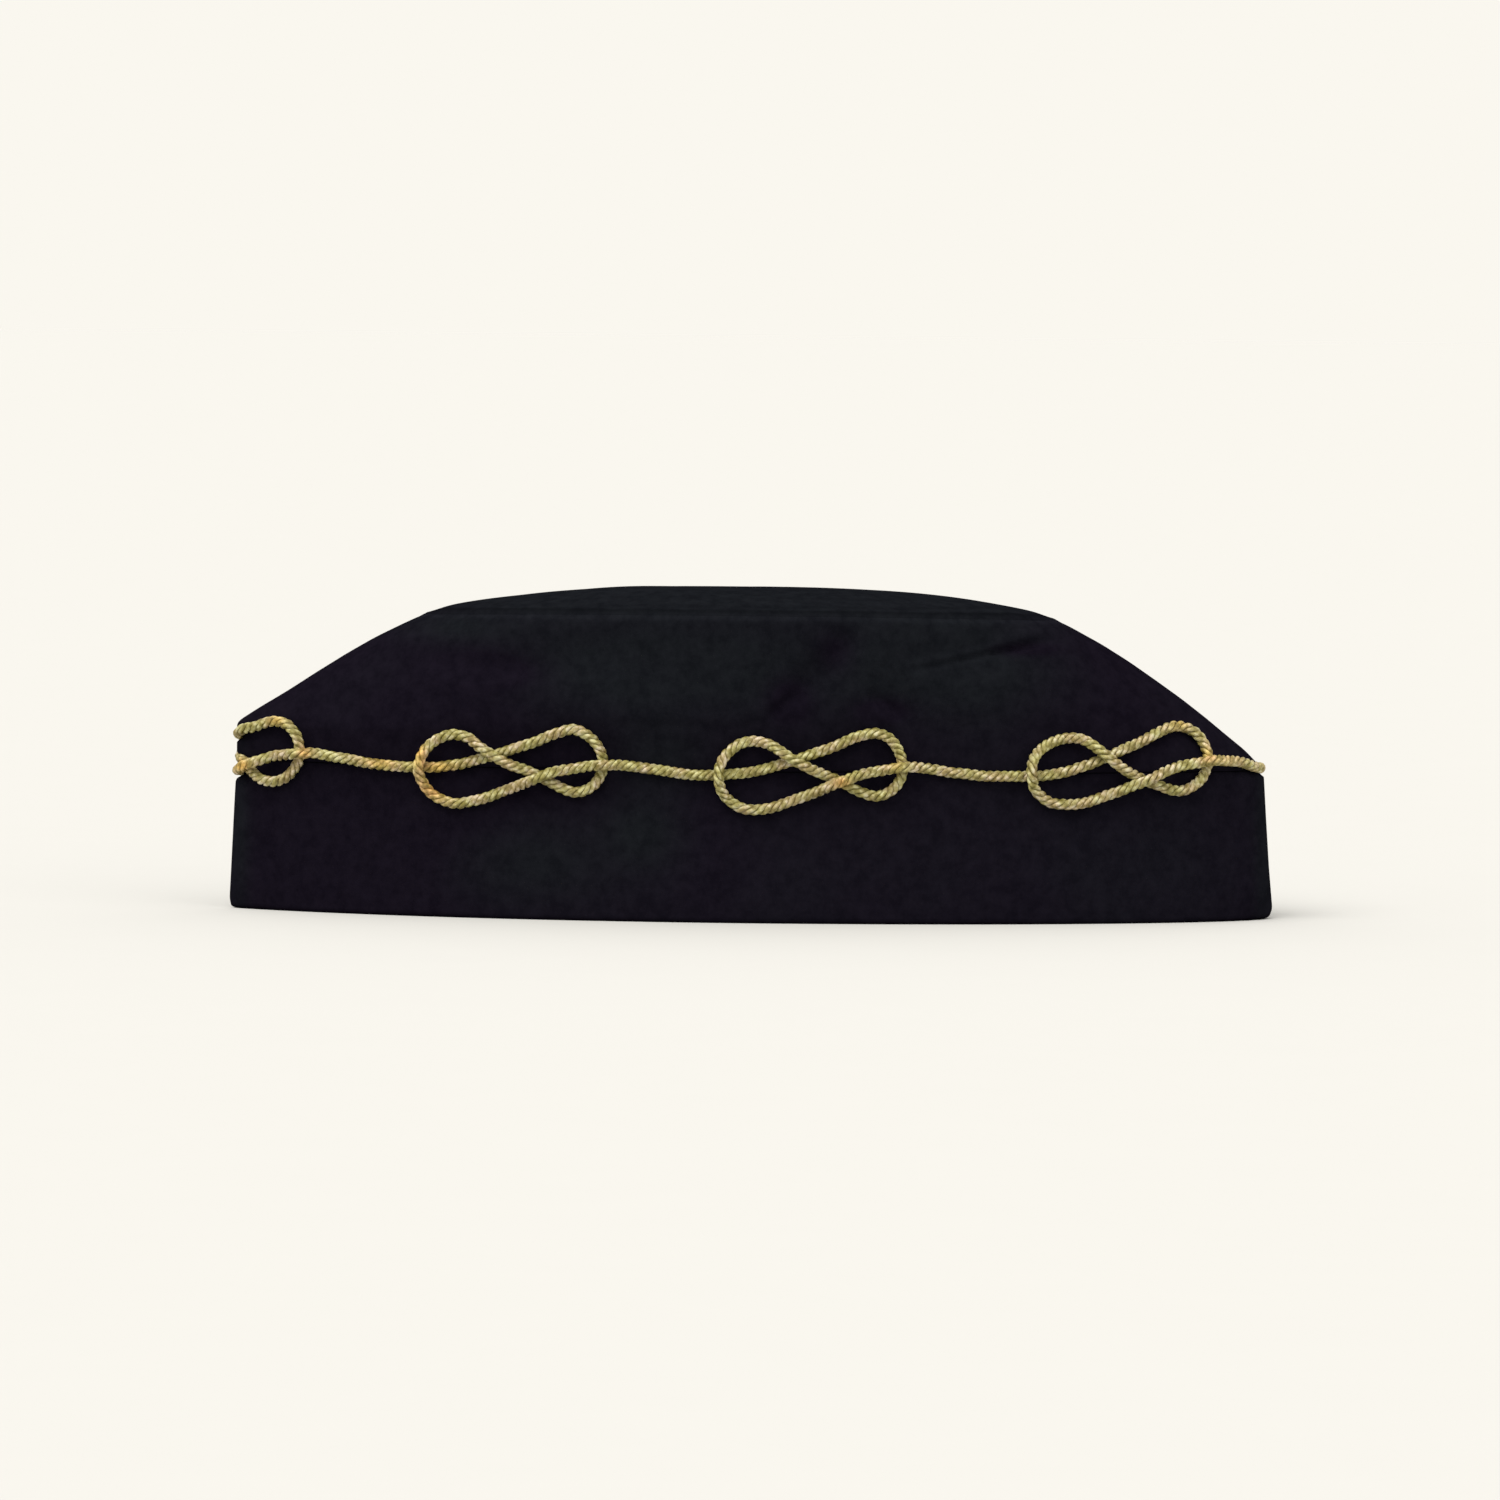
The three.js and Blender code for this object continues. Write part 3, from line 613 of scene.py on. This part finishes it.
def tip_panel(name):
    """The tip from a middle point on its underside, round its sloped edge, to one on top."""
    turn = np.linspace(-math.pi / 4, math.pi / 2, EDGE_STEPS)
    edge_share = SEAM_ROUNDING / TIP_EDGE_SCALE
    under = np.linspace(TIP_UNDER_START, TIP_UNDER_END, INNER_ROWS)
    top_run = 1 - TIP_TOP_START - edge_share
    top = 1 - edge_share - top_run * np.linspace(0, 1, TIP_ROWS) ** TIP_CROWDING
    shares = np.concatenate([under, 1 - edge_share + edge_share * np.cos(turn[:-1]), top])
    drops = np.concatenate([
        under * 0 + CLOTH_THICKNESS,
        SEAM_ROUNDING * (1 - np.sin(turn[:-1])),
        top * 0,
    ])
    angles = ring_angles(STEPS_AROUND)
    outline = sewn_point(angles, np.full(STEPS_AROUND, float(CROWN_HEIGHT)), 0)
    reach = pinch_reach(angles)
    points = tip_point(outline[None], reach[None], shares[:, None], drops[:, None])
    middle = np.zeros(1)
    under_pole = tip_point(outline[:1], reach[:1], middle, middle + CLOTH_THICKNESS)[0]
    top_pole = tip_point(outline[:1], reach[:1], middle, middle)[0]
    caps = ((0, under_pole, True), (len(shares) - 1, top_pole, False))
    # Painted shade beside the seam, on the tip's upper face and the top of its edge
    painted_light_rows = row_painted_light((1 - shares) * TIP_HALF_DEPTH, PAINTED_TIP_SEAM_SHADE) * (drops < SEAM_ROUNDING)
    return grid_mesh(name, points, painted_light_rows, closed_rows=False, caps=caps)


# The cord


def centripetal(points, spacing):
    """A centripetal Catmull-Rom curve through the points, sampled about every spacing."""
    points = np.asarray(points, float)
    padded = np.vstack([2 * points[0] - points[1], points, 2 * points[-1] - points[-2]])
    samples = []
    for p0, p1, p2, p3 in zip(padded, padded[1:], padded[2:], padded[3:]):
        t1 = max(np.linalg.norm(p1 - p0), 1e-6) ** 0.5
        t2 = t1 + max(np.linalg.norm(p2 - p1), 1e-6) ** 0.5
        t3 = t2 + max(np.linalg.norm(p3 - p2), 1e-6) ** 0.5
        count = max(2, math.ceil(np.linalg.norm(p2 - p1) / spacing))
        t = (t1 + (t2 - t1) * np.arange(count) / count)[:, None]
        a1 = (t1 - t) / t1 * p0 + t / t1 * p1
        a2 = (t2 - t) / (t2 - t1) * p1 + (t - t1) / (t2 - t1) * p2
        a3 = (t3 - t) / (t3 - t2) * p2 + (t - t2) / (t3 - t2) * p3
        b1 = (t2 - t) / t2 * a1 + t / t2 * a2
        b2 = (t3 - t) / (t3 - t1) * a2 + (t - t1) / (t3 - t1) * a3
        samples.append((t2 - t) / (t2 - t1) * b1 + (t - t1) / (t2 - t1) * b2)
    return np.vstack([*samples, points[-1:]])


def evenly(points, spacing):
    """Points at equal steps along a polyline, and its length."""
    length = np.concatenate([[0], np.cumsum(np.linalg.norm(np.diff(points, axis=0), axis=1))])
    wanted = np.linspace(0, length[-1], round(length[-1] / spacing) + 1)
    columns = [np.interp(wanted, length, points[:, axis]) for axis in range(3)]
    return np.stack(columns, axis=1), length[-1]


def cord_line():
    """Angles and lengths along the top of the band, from the middle of the front."""
    angles = np.linspace(0, 2 * math.pi, LINE_STEPS + 1)
    points = cloth_point(angles, np.full_like(angles, BAND_HEIGHT), 0)
    steps = np.linalg.norm(np.diff(points, axis=0), axis=1)
    return angles, np.concatenate([[0], np.cumsum(steps)])


def angle_at_height(angle, height):
    """Keeps the place from left to right, except close to the folds, where it keeps the turn."""
    line_middle, line_half_width = section_at(np.full_like(height, BAND_HEIGHT))[:2]
    middle, half_width = section_at(height)[:2]
    sine = np.sin(angle)
    wanted = (line_middle + line_half_width * sine - middle) / half_width
    shifted = wanted + (sine - wanted) * np.abs(sine) ** FOLD_HOLD
    turned_angle = np.arcsin(np.clip(shifted, -1, 1))
    return np.where(np.cos(angle) > 0, turned_angle, math.pi - turned_angle)


def cord_shift(station, height):
    """How much higher the cord lies here than its pattern."""
    shift = 0
    for shift_station, shift_height, reach_along, reach_up, rise in CORD_SHIFTS:
        along = (station - shift_station) / reach_along
        up = (height - shift_height) / reach_up
        shift += rise * math.exp(-(along**2) - up**2)
    return shift


def cord_route():
    """The middle of the cord in millimetres, over the cloth."""
    angles, lengths = cord_line()
    around = lengths[-1]
    flat = [(JOIN_STATION - around + CORD_END_GAP / 2, BAND_HEIGHT, 0)]
    for station, rise, tilt, stretch, size, knot_route in KNOTS:
        slope = math.tan(math.radians(tilt))
        for along, up, lift in knot_route + LINK_ROUTE:
            place = station + along * stretch
            height = BAND_HEIGHT + rise + up * size + along * slope
            flat.append((place, height + cord_shift(place, height), lift))
    # The last link stops at the join instead of going on to a knot.
    flat[-2:] = [(JOIN_STATION - CORD_END_GAP / 2, BAND_HEIGHT, 0)]
    flat, _ = evenly(centripetal(flat, ROUTE_STEP), ROUTE_STEP)
    angle = np.interp(flat[:, 0] % around, lengths, angles)
    height = flat[:, 1]
    angle = angle_at_height(angle, height)
    stand_off = CORD_DIAMETER / 2 + CORD_GAP + CROSSING_LIFT * np.maximum(0, flat[:, 2])
    route = sewn_point(angle, height, 0) + outward(angle, height) * stand_off[:, None]
    return evenly(centripetal(route, ROUTE_STEP), PLY_STEP)


def axes_along(points):
    """Two axes square to a route and to each other, carried along it without twisting."""
    tangents = unit(np.gradient(points, axis=0))
    sides = [unit(np.cross(tangents[0], (0, 0, 1)))]
    for tangent in tangents[1:]:
        sides.append(unit(sides[-1] - tangent * np.dot(sides[-1], tangent)))
    sides = np.array(sides)
    return sides, np.cross(tangents, sides)


def ply_girth(place, length, ply_radius, round_angle):
    """The ply's radius all round it: two strands side by side, thinner at the cord's ends."""
    from_end = np.minimum(place, length - place)
    fullness = np.sqrt(np.clip(from_end / END_TAPER, 0, 1))
    thickness = ply_radius * (END_GIRTH + (1 - END_GIRTH) * fullness)
    strand_turn = 2 * math.pi * place / STRAND_LEAD
    two_strands = 1 + STRAND_RELIEF * np.cos(2 * (round_angle[None, :] - strand_turn[:, None]))
    return thickness[:, None] * two_strands


def ply_points(centre, axes, turn, helix_radius, girth, round_angle):
    """The rings of points of one ply, wound round the middle of the cord."""
    side, other = axes
    radial = side * np.cos(turn)[:, None] + other * np.sin(turn)[:, None]
    path = centre + helix_radius * radial
    forward = unit(np.gradient(path, axis=0))
    out = unit(radial - forward * np.sum(radial * forward, axis=1, keepdims=True))
    flank = np.cross(forward, out)
    spoke = (
        np.cos(round_angle)[None, :, None] * out[:, None]
        + np.sin(round_angle)[None, :, None] * flank[:, None]
    )
    return (path[:, None] + girth[..., None] * spoke).reshape(-1, 3)


def ply_faces(first_point, count):
    """The faces of one ply: quads along its rings, then a face across each end."""
    step = np.arange(PLY_SIDES)
    beside = (step + 1) % PLY_SIDES
    ring = np.arange(count - 1)[:, None] * PLY_SIDES + first_point
    ahead = ring + PLY_SIDES
    quads = np.stack([ring + step, ring + beside, ahead + beside, ahead + step], axis=-1)
    last_ring = first_point + (count - 1) * PLY_SIDES
    start = list(range(first_point + PLY_SIDES - 1, first_point - 1, -1))
    end = list(range(last_ring, last_ring + PLY_SIDES))
    return [*quads.reshape(-1, 4).tolist(), start, end]


def ply_uv(place):
    """The way round one ply, from 0 to 1, and the way along it in millimetres."""
    shape = (len(place) - 1, PLY_SIDES)
    step = np.arange(PLY_SIDES)
    u0 = np.broadcast_to(step / PLY_SIDES, shape)
    u1 = np.broadcast_to((step + 1) / PLY_SIDES, shape)
    v0 = np.broadcast_to(place[:-1, None], shape)
    v1 = np.broadcast_to(place[1:, None], shape)
    quads = np.stack([u0, v0, u1, v0, u1, v1, u0, v1], axis=-1).reshape(-1, 2)
    ends = np.zeros((2 * PLY_SIDES, 2))
    return np.vstack([quads, ends])


def twisted_cord(name):
    """Three plies laid round each other in an S twist, each one a closed tube of its own."""
    centre, length = cord_route()
    axes = axes_along(centre)
    count = len(centre)
    place = np.linspace(0, length, count)
    # Three plies that touch one another fill the cord's diameter.
    ply_radius = CORD_DIAMETER / 2 / (1 + 2 / math.sqrt(3))
    helix_radius = CORD_DIAMETER / 2 - ply_radius
    zero = np.zeros(count)
    drift_noise = noise_at(place, zero, zero + TWIST_DRIFT_OFFSET, TWIST_DRIFT_SIZE, seed=0.6)
    laid = np.cumsum(1 + TWIST_DRIFT * drift_noise) * length / count
    round_angle = 2 * math.pi * np.arange(PLY_SIDES) / PLY_SIDES
    girth = ply_girth(place, length, ply_radius, round_angle)
    vertices = []
    polygons = []
    for ply in range(CORD_PLIES):
        turn = -2 * math.pi * laid / CORD_LEAD + 2 * math.pi * ply / CORD_PLIES
        vertices.append(ply_points(centre, axes, turn, helix_radius, girth, round_angle))
        polygons.extend(ply_faces(ply * count * PLY_SIDES, count))
    vertices = np.vstack(vertices)
    uv = np.vstack([ply_uv(place)] * CORD_PLIES)
    piece = mesh_object(name, vertices * MM + OFFSET, polygons, "thread", uv)
    mark_points(piece, "stain", spots(vertices, STAINS) * (vertices[:, 1] < 0))
    print(f"cord length {length:.1f} mm, {len(polygons)} faces")
    return piece


# Materials


def node_material(name, roughness):
    """A new material, with its nodes, its links and its shader."""
    material = bpy.data.materials.new(name)
    material.use_nodes = True
    nodes = material.node_tree.nodes
    shader = nodes["Principled BSDF"]
    shader.inputs["Roughness"].default_value = roughness
    return material, nodes, material.node_tree.links, shader


def mapped(nodes, links, source, scale):
    """Places stretched by a scale along each axis."""
    mapping = nodes.new("ShaderNodeMapping")
    mapping.inputs["Scale"].default_value = scale
    links.new(source, mapping.inputs["Vector"])
    return mapping.outputs["Vector"]


def noise_node(nodes, links, vector, scale, detail, roughness=0.5):
    """Cloudy noise from 0 to 1."""
    node = nodes.new("ShaderNodeTexNoise")
    node.inputs["Scale"].default_value = scale
    node.inputs["Detail"].default_value = detail
    node.inputs["Roughness"].default_value = roughness
    links.new(vector, node.inputs["Vector"])
    return node.outputs["Fac"]


def wave_node(nodes, links, vector, direction, scale, distortion):
    """Slightly wavy bands from 0 to 1."""
    node = nodes.new("ShaderNodeTexWave")
    node.wave_type = "BANDS"
    node.bands_direction = direction
    node.inputs["Scale"].default_value = scale
    node.inputs["Distortion"].default_value = distortion
    node.inputs["Detail"].default_value = 1
    links.new(vector, node.inputs["Vector"])
    return node.outputs["Fac"]


def attribute(nodes, name):
    """The value that each point of the mesh was marked with."""
    node = nodes.new("ShaderNodeAttribute")
    node.attribute_name = name
    return node.outputs["Fac"]


def maths(nodes, links, operation, first, second):
    """One sum on two values, each a number or another node's output."""
    node = nodes.new("ShaderNodeMath")
    node.operation = operation
    for socket, value in zip(node.inputs, (first, second)):
        if isinstance(value, (int, float)):
            socket.default_value = value
        else:
            links.new(value, socket)
    return node.outputs["Value"]


def ramp(nodes, links, factor, stops):
    """A colour that runs through stops of a position and a colour."""
    node = nodes.new("ShaderNodeValToRGB")
    elements = node.color_ramp.elements
    while len(elements) < len(stops):
        elements.new(0.5)
    for element, (position, colour) in zip(elements, stops):
        element.position = position
        element.color = (*colour, 1)
    links.new(factor, node.inputs["Fac"])
    return node.outputs["Color"]


def blend(nodes, links, mode, factor, first, second):
    """Two colours in one, by the colour sockets of the mix node: factor 0, A 6, B 7, result 2."""
    node = nodes.new("ShaderNodeMix")
    node.data_type = "RGBA"
    node.blend_type = mode
    sockets = (node.inputs[0], node.inputs[6], node.inputs[7])
    for socket, value in zip(sockets, (factor, first, second)):
        if isinstance(value, (int, float, tuple)):
            socket.default_value = value
        else:
            links.new(value, socket)
    return node.outputs[2]


def bump(nodes, links, height, distance, strength, under=None):
    """Fine relief, on top of another if one is given."""
    node = nodes.new("ShaderNodeBump")
    node.inputs["Distance"].default_value = distance
    node.inputs["Strength"].default_value = strength
    links.new(height, node.inputs["Height"])
    if under is not None:
        links.new(under, node.inputs["Normal"])
    return node.outputs["Normal"]


def cloth_material():
    """Black wool with a faint purple cast, greyer in soft patches, in a fine close weave, with painted
    shade in its creases and along its hem and seams, and a painted highlight and sheen on its edges
    and folds.
    """
    material, nodes, links, shader = node_material("black_cloth", 0.85)
    place = nodes.new("ShaderNodeTexCoord")
    patches = noise_node(nodes, links, place.outputs["Object"], 14, 2, 0.5)
    mottle = noise_node(nodes, links, place.outputs["Object"], 260, 4, 0.7)
    tint_share = maths(nodes, links, "MULTIPLY", maths(nodes, links, "SUBTRACT", patches, 0.5), 1.3)
    # Fading, with painted shade in the creases and a painted sheen on the folds
    tint_share = maths(nodes, links, "ADD", tint_share, attribute(nodes, "faded_and_painted_light"))
    tint_stops = ((0, (0.0058, 0.0045, 0.0085)), (0.8, (0.0068, 0.0077, 0.0101)))
    tint = ramp(nodes, links, tint_share, tint_stops)
    shade_stops = ((0.36, (0.78, 0.78, 0.8)), (0.5, (1, 1, 1)), (0.66, (1.22, 1.22, 1.2)))
    shade = ramp(nodes, links, mottle, shade_stops)
    colour = blend(nodes, links, "MULTIPLY", 1.0, tint, shade)
    # Painted highlight and shade along the hem and the seams
    brightness = maths(nodes, links, "ADD", attribute(nodes, "painted_edge_light"), 1)
    colour = blend(nodes, links, "MULTIPLY", 1.0, colour, brightness)
    links.new(colour, shader.inputs["Base Color"])
    shader.inputs["Specular IOR Level"].default_value = 0
    threads = nodes.new("ShaderNodeUVMap")
    threads.uv_map = "cloth"
    weave = wave_node(nodes, links, threads.outputs["UV"], "DIAGONAL", 1.4, 0.8)
    fuzz = noise_node(nodes, links, place.outputs["Object"], 1400, 2, 0.6)
    nap = noise_node(nodes, links, place.outputs["Object"], 320, 3, 0.6)
    soft = bump(nodes, links, nap, 0.0004, 0.35)
    fine = bump(nodes, links, maths(nodes, links, "ADD", weave, fuzz), 0.00006, 0.6, soft)
    links.new(fine, shader.inputs["Normal"])
    return material


def cord_material():
    """Pale gold thread, darker with painted shade in the creases between the plies and where each
    ply's two strands meet, stained here and there.
    """
    material, nodes, links, shader = node_material("gold_thread", 0.45)
    thread = nodes.new("ShaderNodeUVMap")
    thread.uv_map = "thread"
    split = nodes.new("ShaderNodeSeparateXYZ")
    links.new(thread.outputs["UV"], split.inputs["Vector"])
    place = nodes.new("ShaderNodeTexCoord")
    mottle = noise_node(nodes, links, place.outputs["Object"], 640, 2, 0.6)
    gold_stops = ((0.36, (0.205, 0.17, 0.042)), (0.5, (0.36, 0.312, 0.13)), (0.64, (0.53, 0.49, 0.31)))
    gold = ramp(nodes, links, mottle, gold_stops)
    patches = noise_node(nodes, links, place.outputs["Object"], 210, 2, 0.5)
    tint_stops = ((0.38, (0.94, 0.98, 0.78)), (0.5, (1, 1, 1)), (0.63, (1.06, 0.96, 1.1)))
    gold = blend(nodes, links, "MULTIPLY", 1.0, gold, ramp(nodes, links, patches, tint_stops))

    ply_turn = maths(nodes, links, "MULTIPLY", split.outputs["X"], 2 * math.pi)
    # Painted shade on each ply's inner side, in the creases where the plies meet
    outer = maths(nodes, links, "MULTIPLY", maths(nodes, links, "COSINE", ply_turn, 0), 0.5)
    outer = maths(nodes, links, "ADD", outer, 0.5)
    painted_crease_shade_stops = ((0.36, (0.36, 0.31, 0.17)), (0.68, (1, 1, 1)))
    colour = blend(nodes, links, "MULTIPLY", 1.0, gold, ramp(nodes, links, outer, painted_crease_shade_stops))

    # Painted shade where each ply's two strands meet, and a slight painted highlight on their crests
    strand_turn = maths(nodes, links, "MULTIPLY", split.outputs["Y"], 2 * math.pi / STRAND_LEAD)
    between = maths(nodes, links, "SUBTRACT", ply_turn, strand_turn)
    between = maths(nodes, links, "COSINE", maths(nodes, links, "MULTIPLY", between, 2), 0)
    between = maths(nodes, links, "MULTIPLY", maths(nodes, links, "ADD", between, 1), 0.5)
    painted_strand_light_stops = ((0.1, (0.74, 0.72, 0.58)), (0.5, (1, 1, 1)), (1, (1.08, 1.08, 1.1)))
    colour = blend(nodes, links, "MULTIPLY", 1.0, colour, ramp(nodes, links, between, painted_strand_light_stops))

    uneven = maths(nodes, links, "MULTIPLY", mottle, 1.8)
    stain_amount = maths(nodes, links, "MULTIPLY", attribute(nodes, "stain"), uneven)
    stain_colour = (1.5, 0.95, 0.36, 1)
    colour = blend(nodes, links, "MULTIPLY", stain_amount, colour, stain_colour)
    links.new(colour, shader.inputs["Base Color"])
    shader.inputs["Metallic"].default_value = 0.1
    shader.inputs["Specular IOR Level"].default_value = 0.5
    along_fibres = mapped(nodes, links, thread.outputs["UV"], (9, 0.7, 1))
    fibres = wave_node(nodes, links, along_fibres, "DIAGONAL", 1, 0.8)
    links.new(bump(nodes, links, fibres, 0.00006, 0.7), shader.inputs["Normal"])
    return material


def floor_material():
    """Plain pale paper, just bright enough under the lights to match the background."""
    material, nodes, links, shader = node_material("pale_floor", 1)
    direct = sum(strength * math.sin(math.radians(elevation)) for _, _, elevation, strength in SUNS)
    brightness = 1 / (1 + direct / math.pi)
    place = nodes.new("ShaderNodeTexCoord")
    grain = noise_node(nodes, links, place.outputs["Object"], 40, 3)
    stops = ((0.3, (brightness * 0.998,) * 3), (0.7, (brightness * 1.002,) * 3))
    links.new(ramp(nodes, links, grain, stops), shader.inputs["Base Color"])
    shader.inputs["Specular IOR Level"].default_value = 0
    return material


# Studio


def studio_floor():
    """A wide round floor, finer near the object."""
    vertices = []
    for share in np.linspace(0.1, 1, FLOOR_RINGS):
        radius = FLOOR_RADIUS * share**3
        for step in range(FLOOR_SIDES):
            turn = 2 * math.pi * step / FLOOR_SIDES
            vertices.append((radius * math.cos(turn), radius * math.sin(turn), 0))
    polygons = [tuple(range(FLOOR_SIDES))]
    for ring in range(FLOOR_RINGS - 1):
        inner = ring * FLOOR_SIDES
        outer = inner + FLOOR_SIDES
        for step in range(FLOOR_SIDES):
            beside = (step + 1) % FLOOR_SIDES
            polygons.append((inner + step, outer + step, outer + beside, inner + beside))
    mesh = bpy.data.meshes.new("floor")
    mesh.from_pydata(vertices, [], polygons)
    floor = bpy.data.objects.new("floor", mesh)
    bpy.context.scene.collection.objects.link(floor)
    mesh.materials.append(floor_material())


def lights():
    """Two broad soft suns and an even background."""
    for name, bearing, elevation, strength in SUNS:
        light = bpy.data.lights.new(name, "SUN")
        light.energy = strength
        light.color = BACKGROUND
        light.angle = math.radians(SUN_SOFTNESS)
        lamp = bpy.data.objects.new(name, light)
        across = math.cos(math.radians(elevation))
        up = math.sin(math.radians(elevation))
        turn = math.radians(bearing)
        toward = Vector((across * math.sin(turn), -across * math.cos(turn), up))
        lamp.location = toward * SUN_DISTANCE
        lamp.rotation_euler = (-toward).to_track_quat("-Z", "Y").to_euler()
        bpy.context.scene.collection.objects.link(lamp)
    world = bpy.data.worlds.new("studio")
    world.use_nodes = True
    background = world.node_tree.nodes["Background"]
    background.inputs["Color"].default_value = (*BACKGROUND, 1)
    bpy.context.scene.world = world
    bpy.context.scene.view_settings.view_transform = "Standard"


def camera():
    """A long lens at the photo's angle, rolled a little as the photo is."""
    data = bpy.data.cameras.new("camera")
    data.sensor_width = SENSOR
    data.lens = SENSOR * CAMERA_DISTANCE / FRAME_WIDTH
    data.clip_start = NEAREST_SEEN
    data.clip_end = FARTHEST_SEEN
    camera_object = bpy.data.objects.new("camera", data)
    bpy.context.scene.collection.objects.link(camera_object)
    back = Vector((0, -math.cos(CAMERA_ELEVATION), math.sin(CAMERA_ELEVATION)))
    aim = Vector(OFFSET) + Vector(CAMERA_AIM) * MM
    camera_object.location = aim + back * CAMERA_DISTANCE * MM
    place = Matrix.Translation(camera_object.location)
    look = (-back).to_track_quat("-Z", "Y").to_matrix().to_4x4()
    roll = Matrix.Rotation(CAMERA_ROLL, 4, "Z")
    camera_object.matrix_world = place @ look @ roll
    bpy.context.scene.camera = camera_object


# Where the model's millimetres lie in the frame, from the left end and the front of the CAD band
OFFSET = np.array(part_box("band")[0]) - np.array((-SECTIONS[1][1], -SECTIONS[1][3], 0)) * MM

camera()
studio_floor()
lights()

band = side_wall("band_cloth", 0, BAND_HEIGHT, RIM_ROUNDING, 0, BAND_ROWS)
crown_foot = BAND_HEIGHT + SEAM_GAP
crown_side = side_wall(
    "crown_side_cloth", crown_foot, CROWN_HEIGHT, SEAM_ROUNDING, SEAM_SLOPE, CROWN_ROWS
)
crown_tip = tip_panel("crown_tip_cloth")
cord = twisted_cord("love_knot_cord")

cloth = cloth_material()
gold = cord_material()
pieces = (
    (band, "band", cloth, "cloth"),
    (crown_side, "crown_side", cloth, "cloth"),
    (crown_tip, "crown_tip", cloth, "cloth"),
    (cord, "knot_cord", gold, "gold_cord"),
)
for piece, node, material, slot in pieces:
    piece.data.materials.append(material)
    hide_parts(node)
    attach(piece, "root")
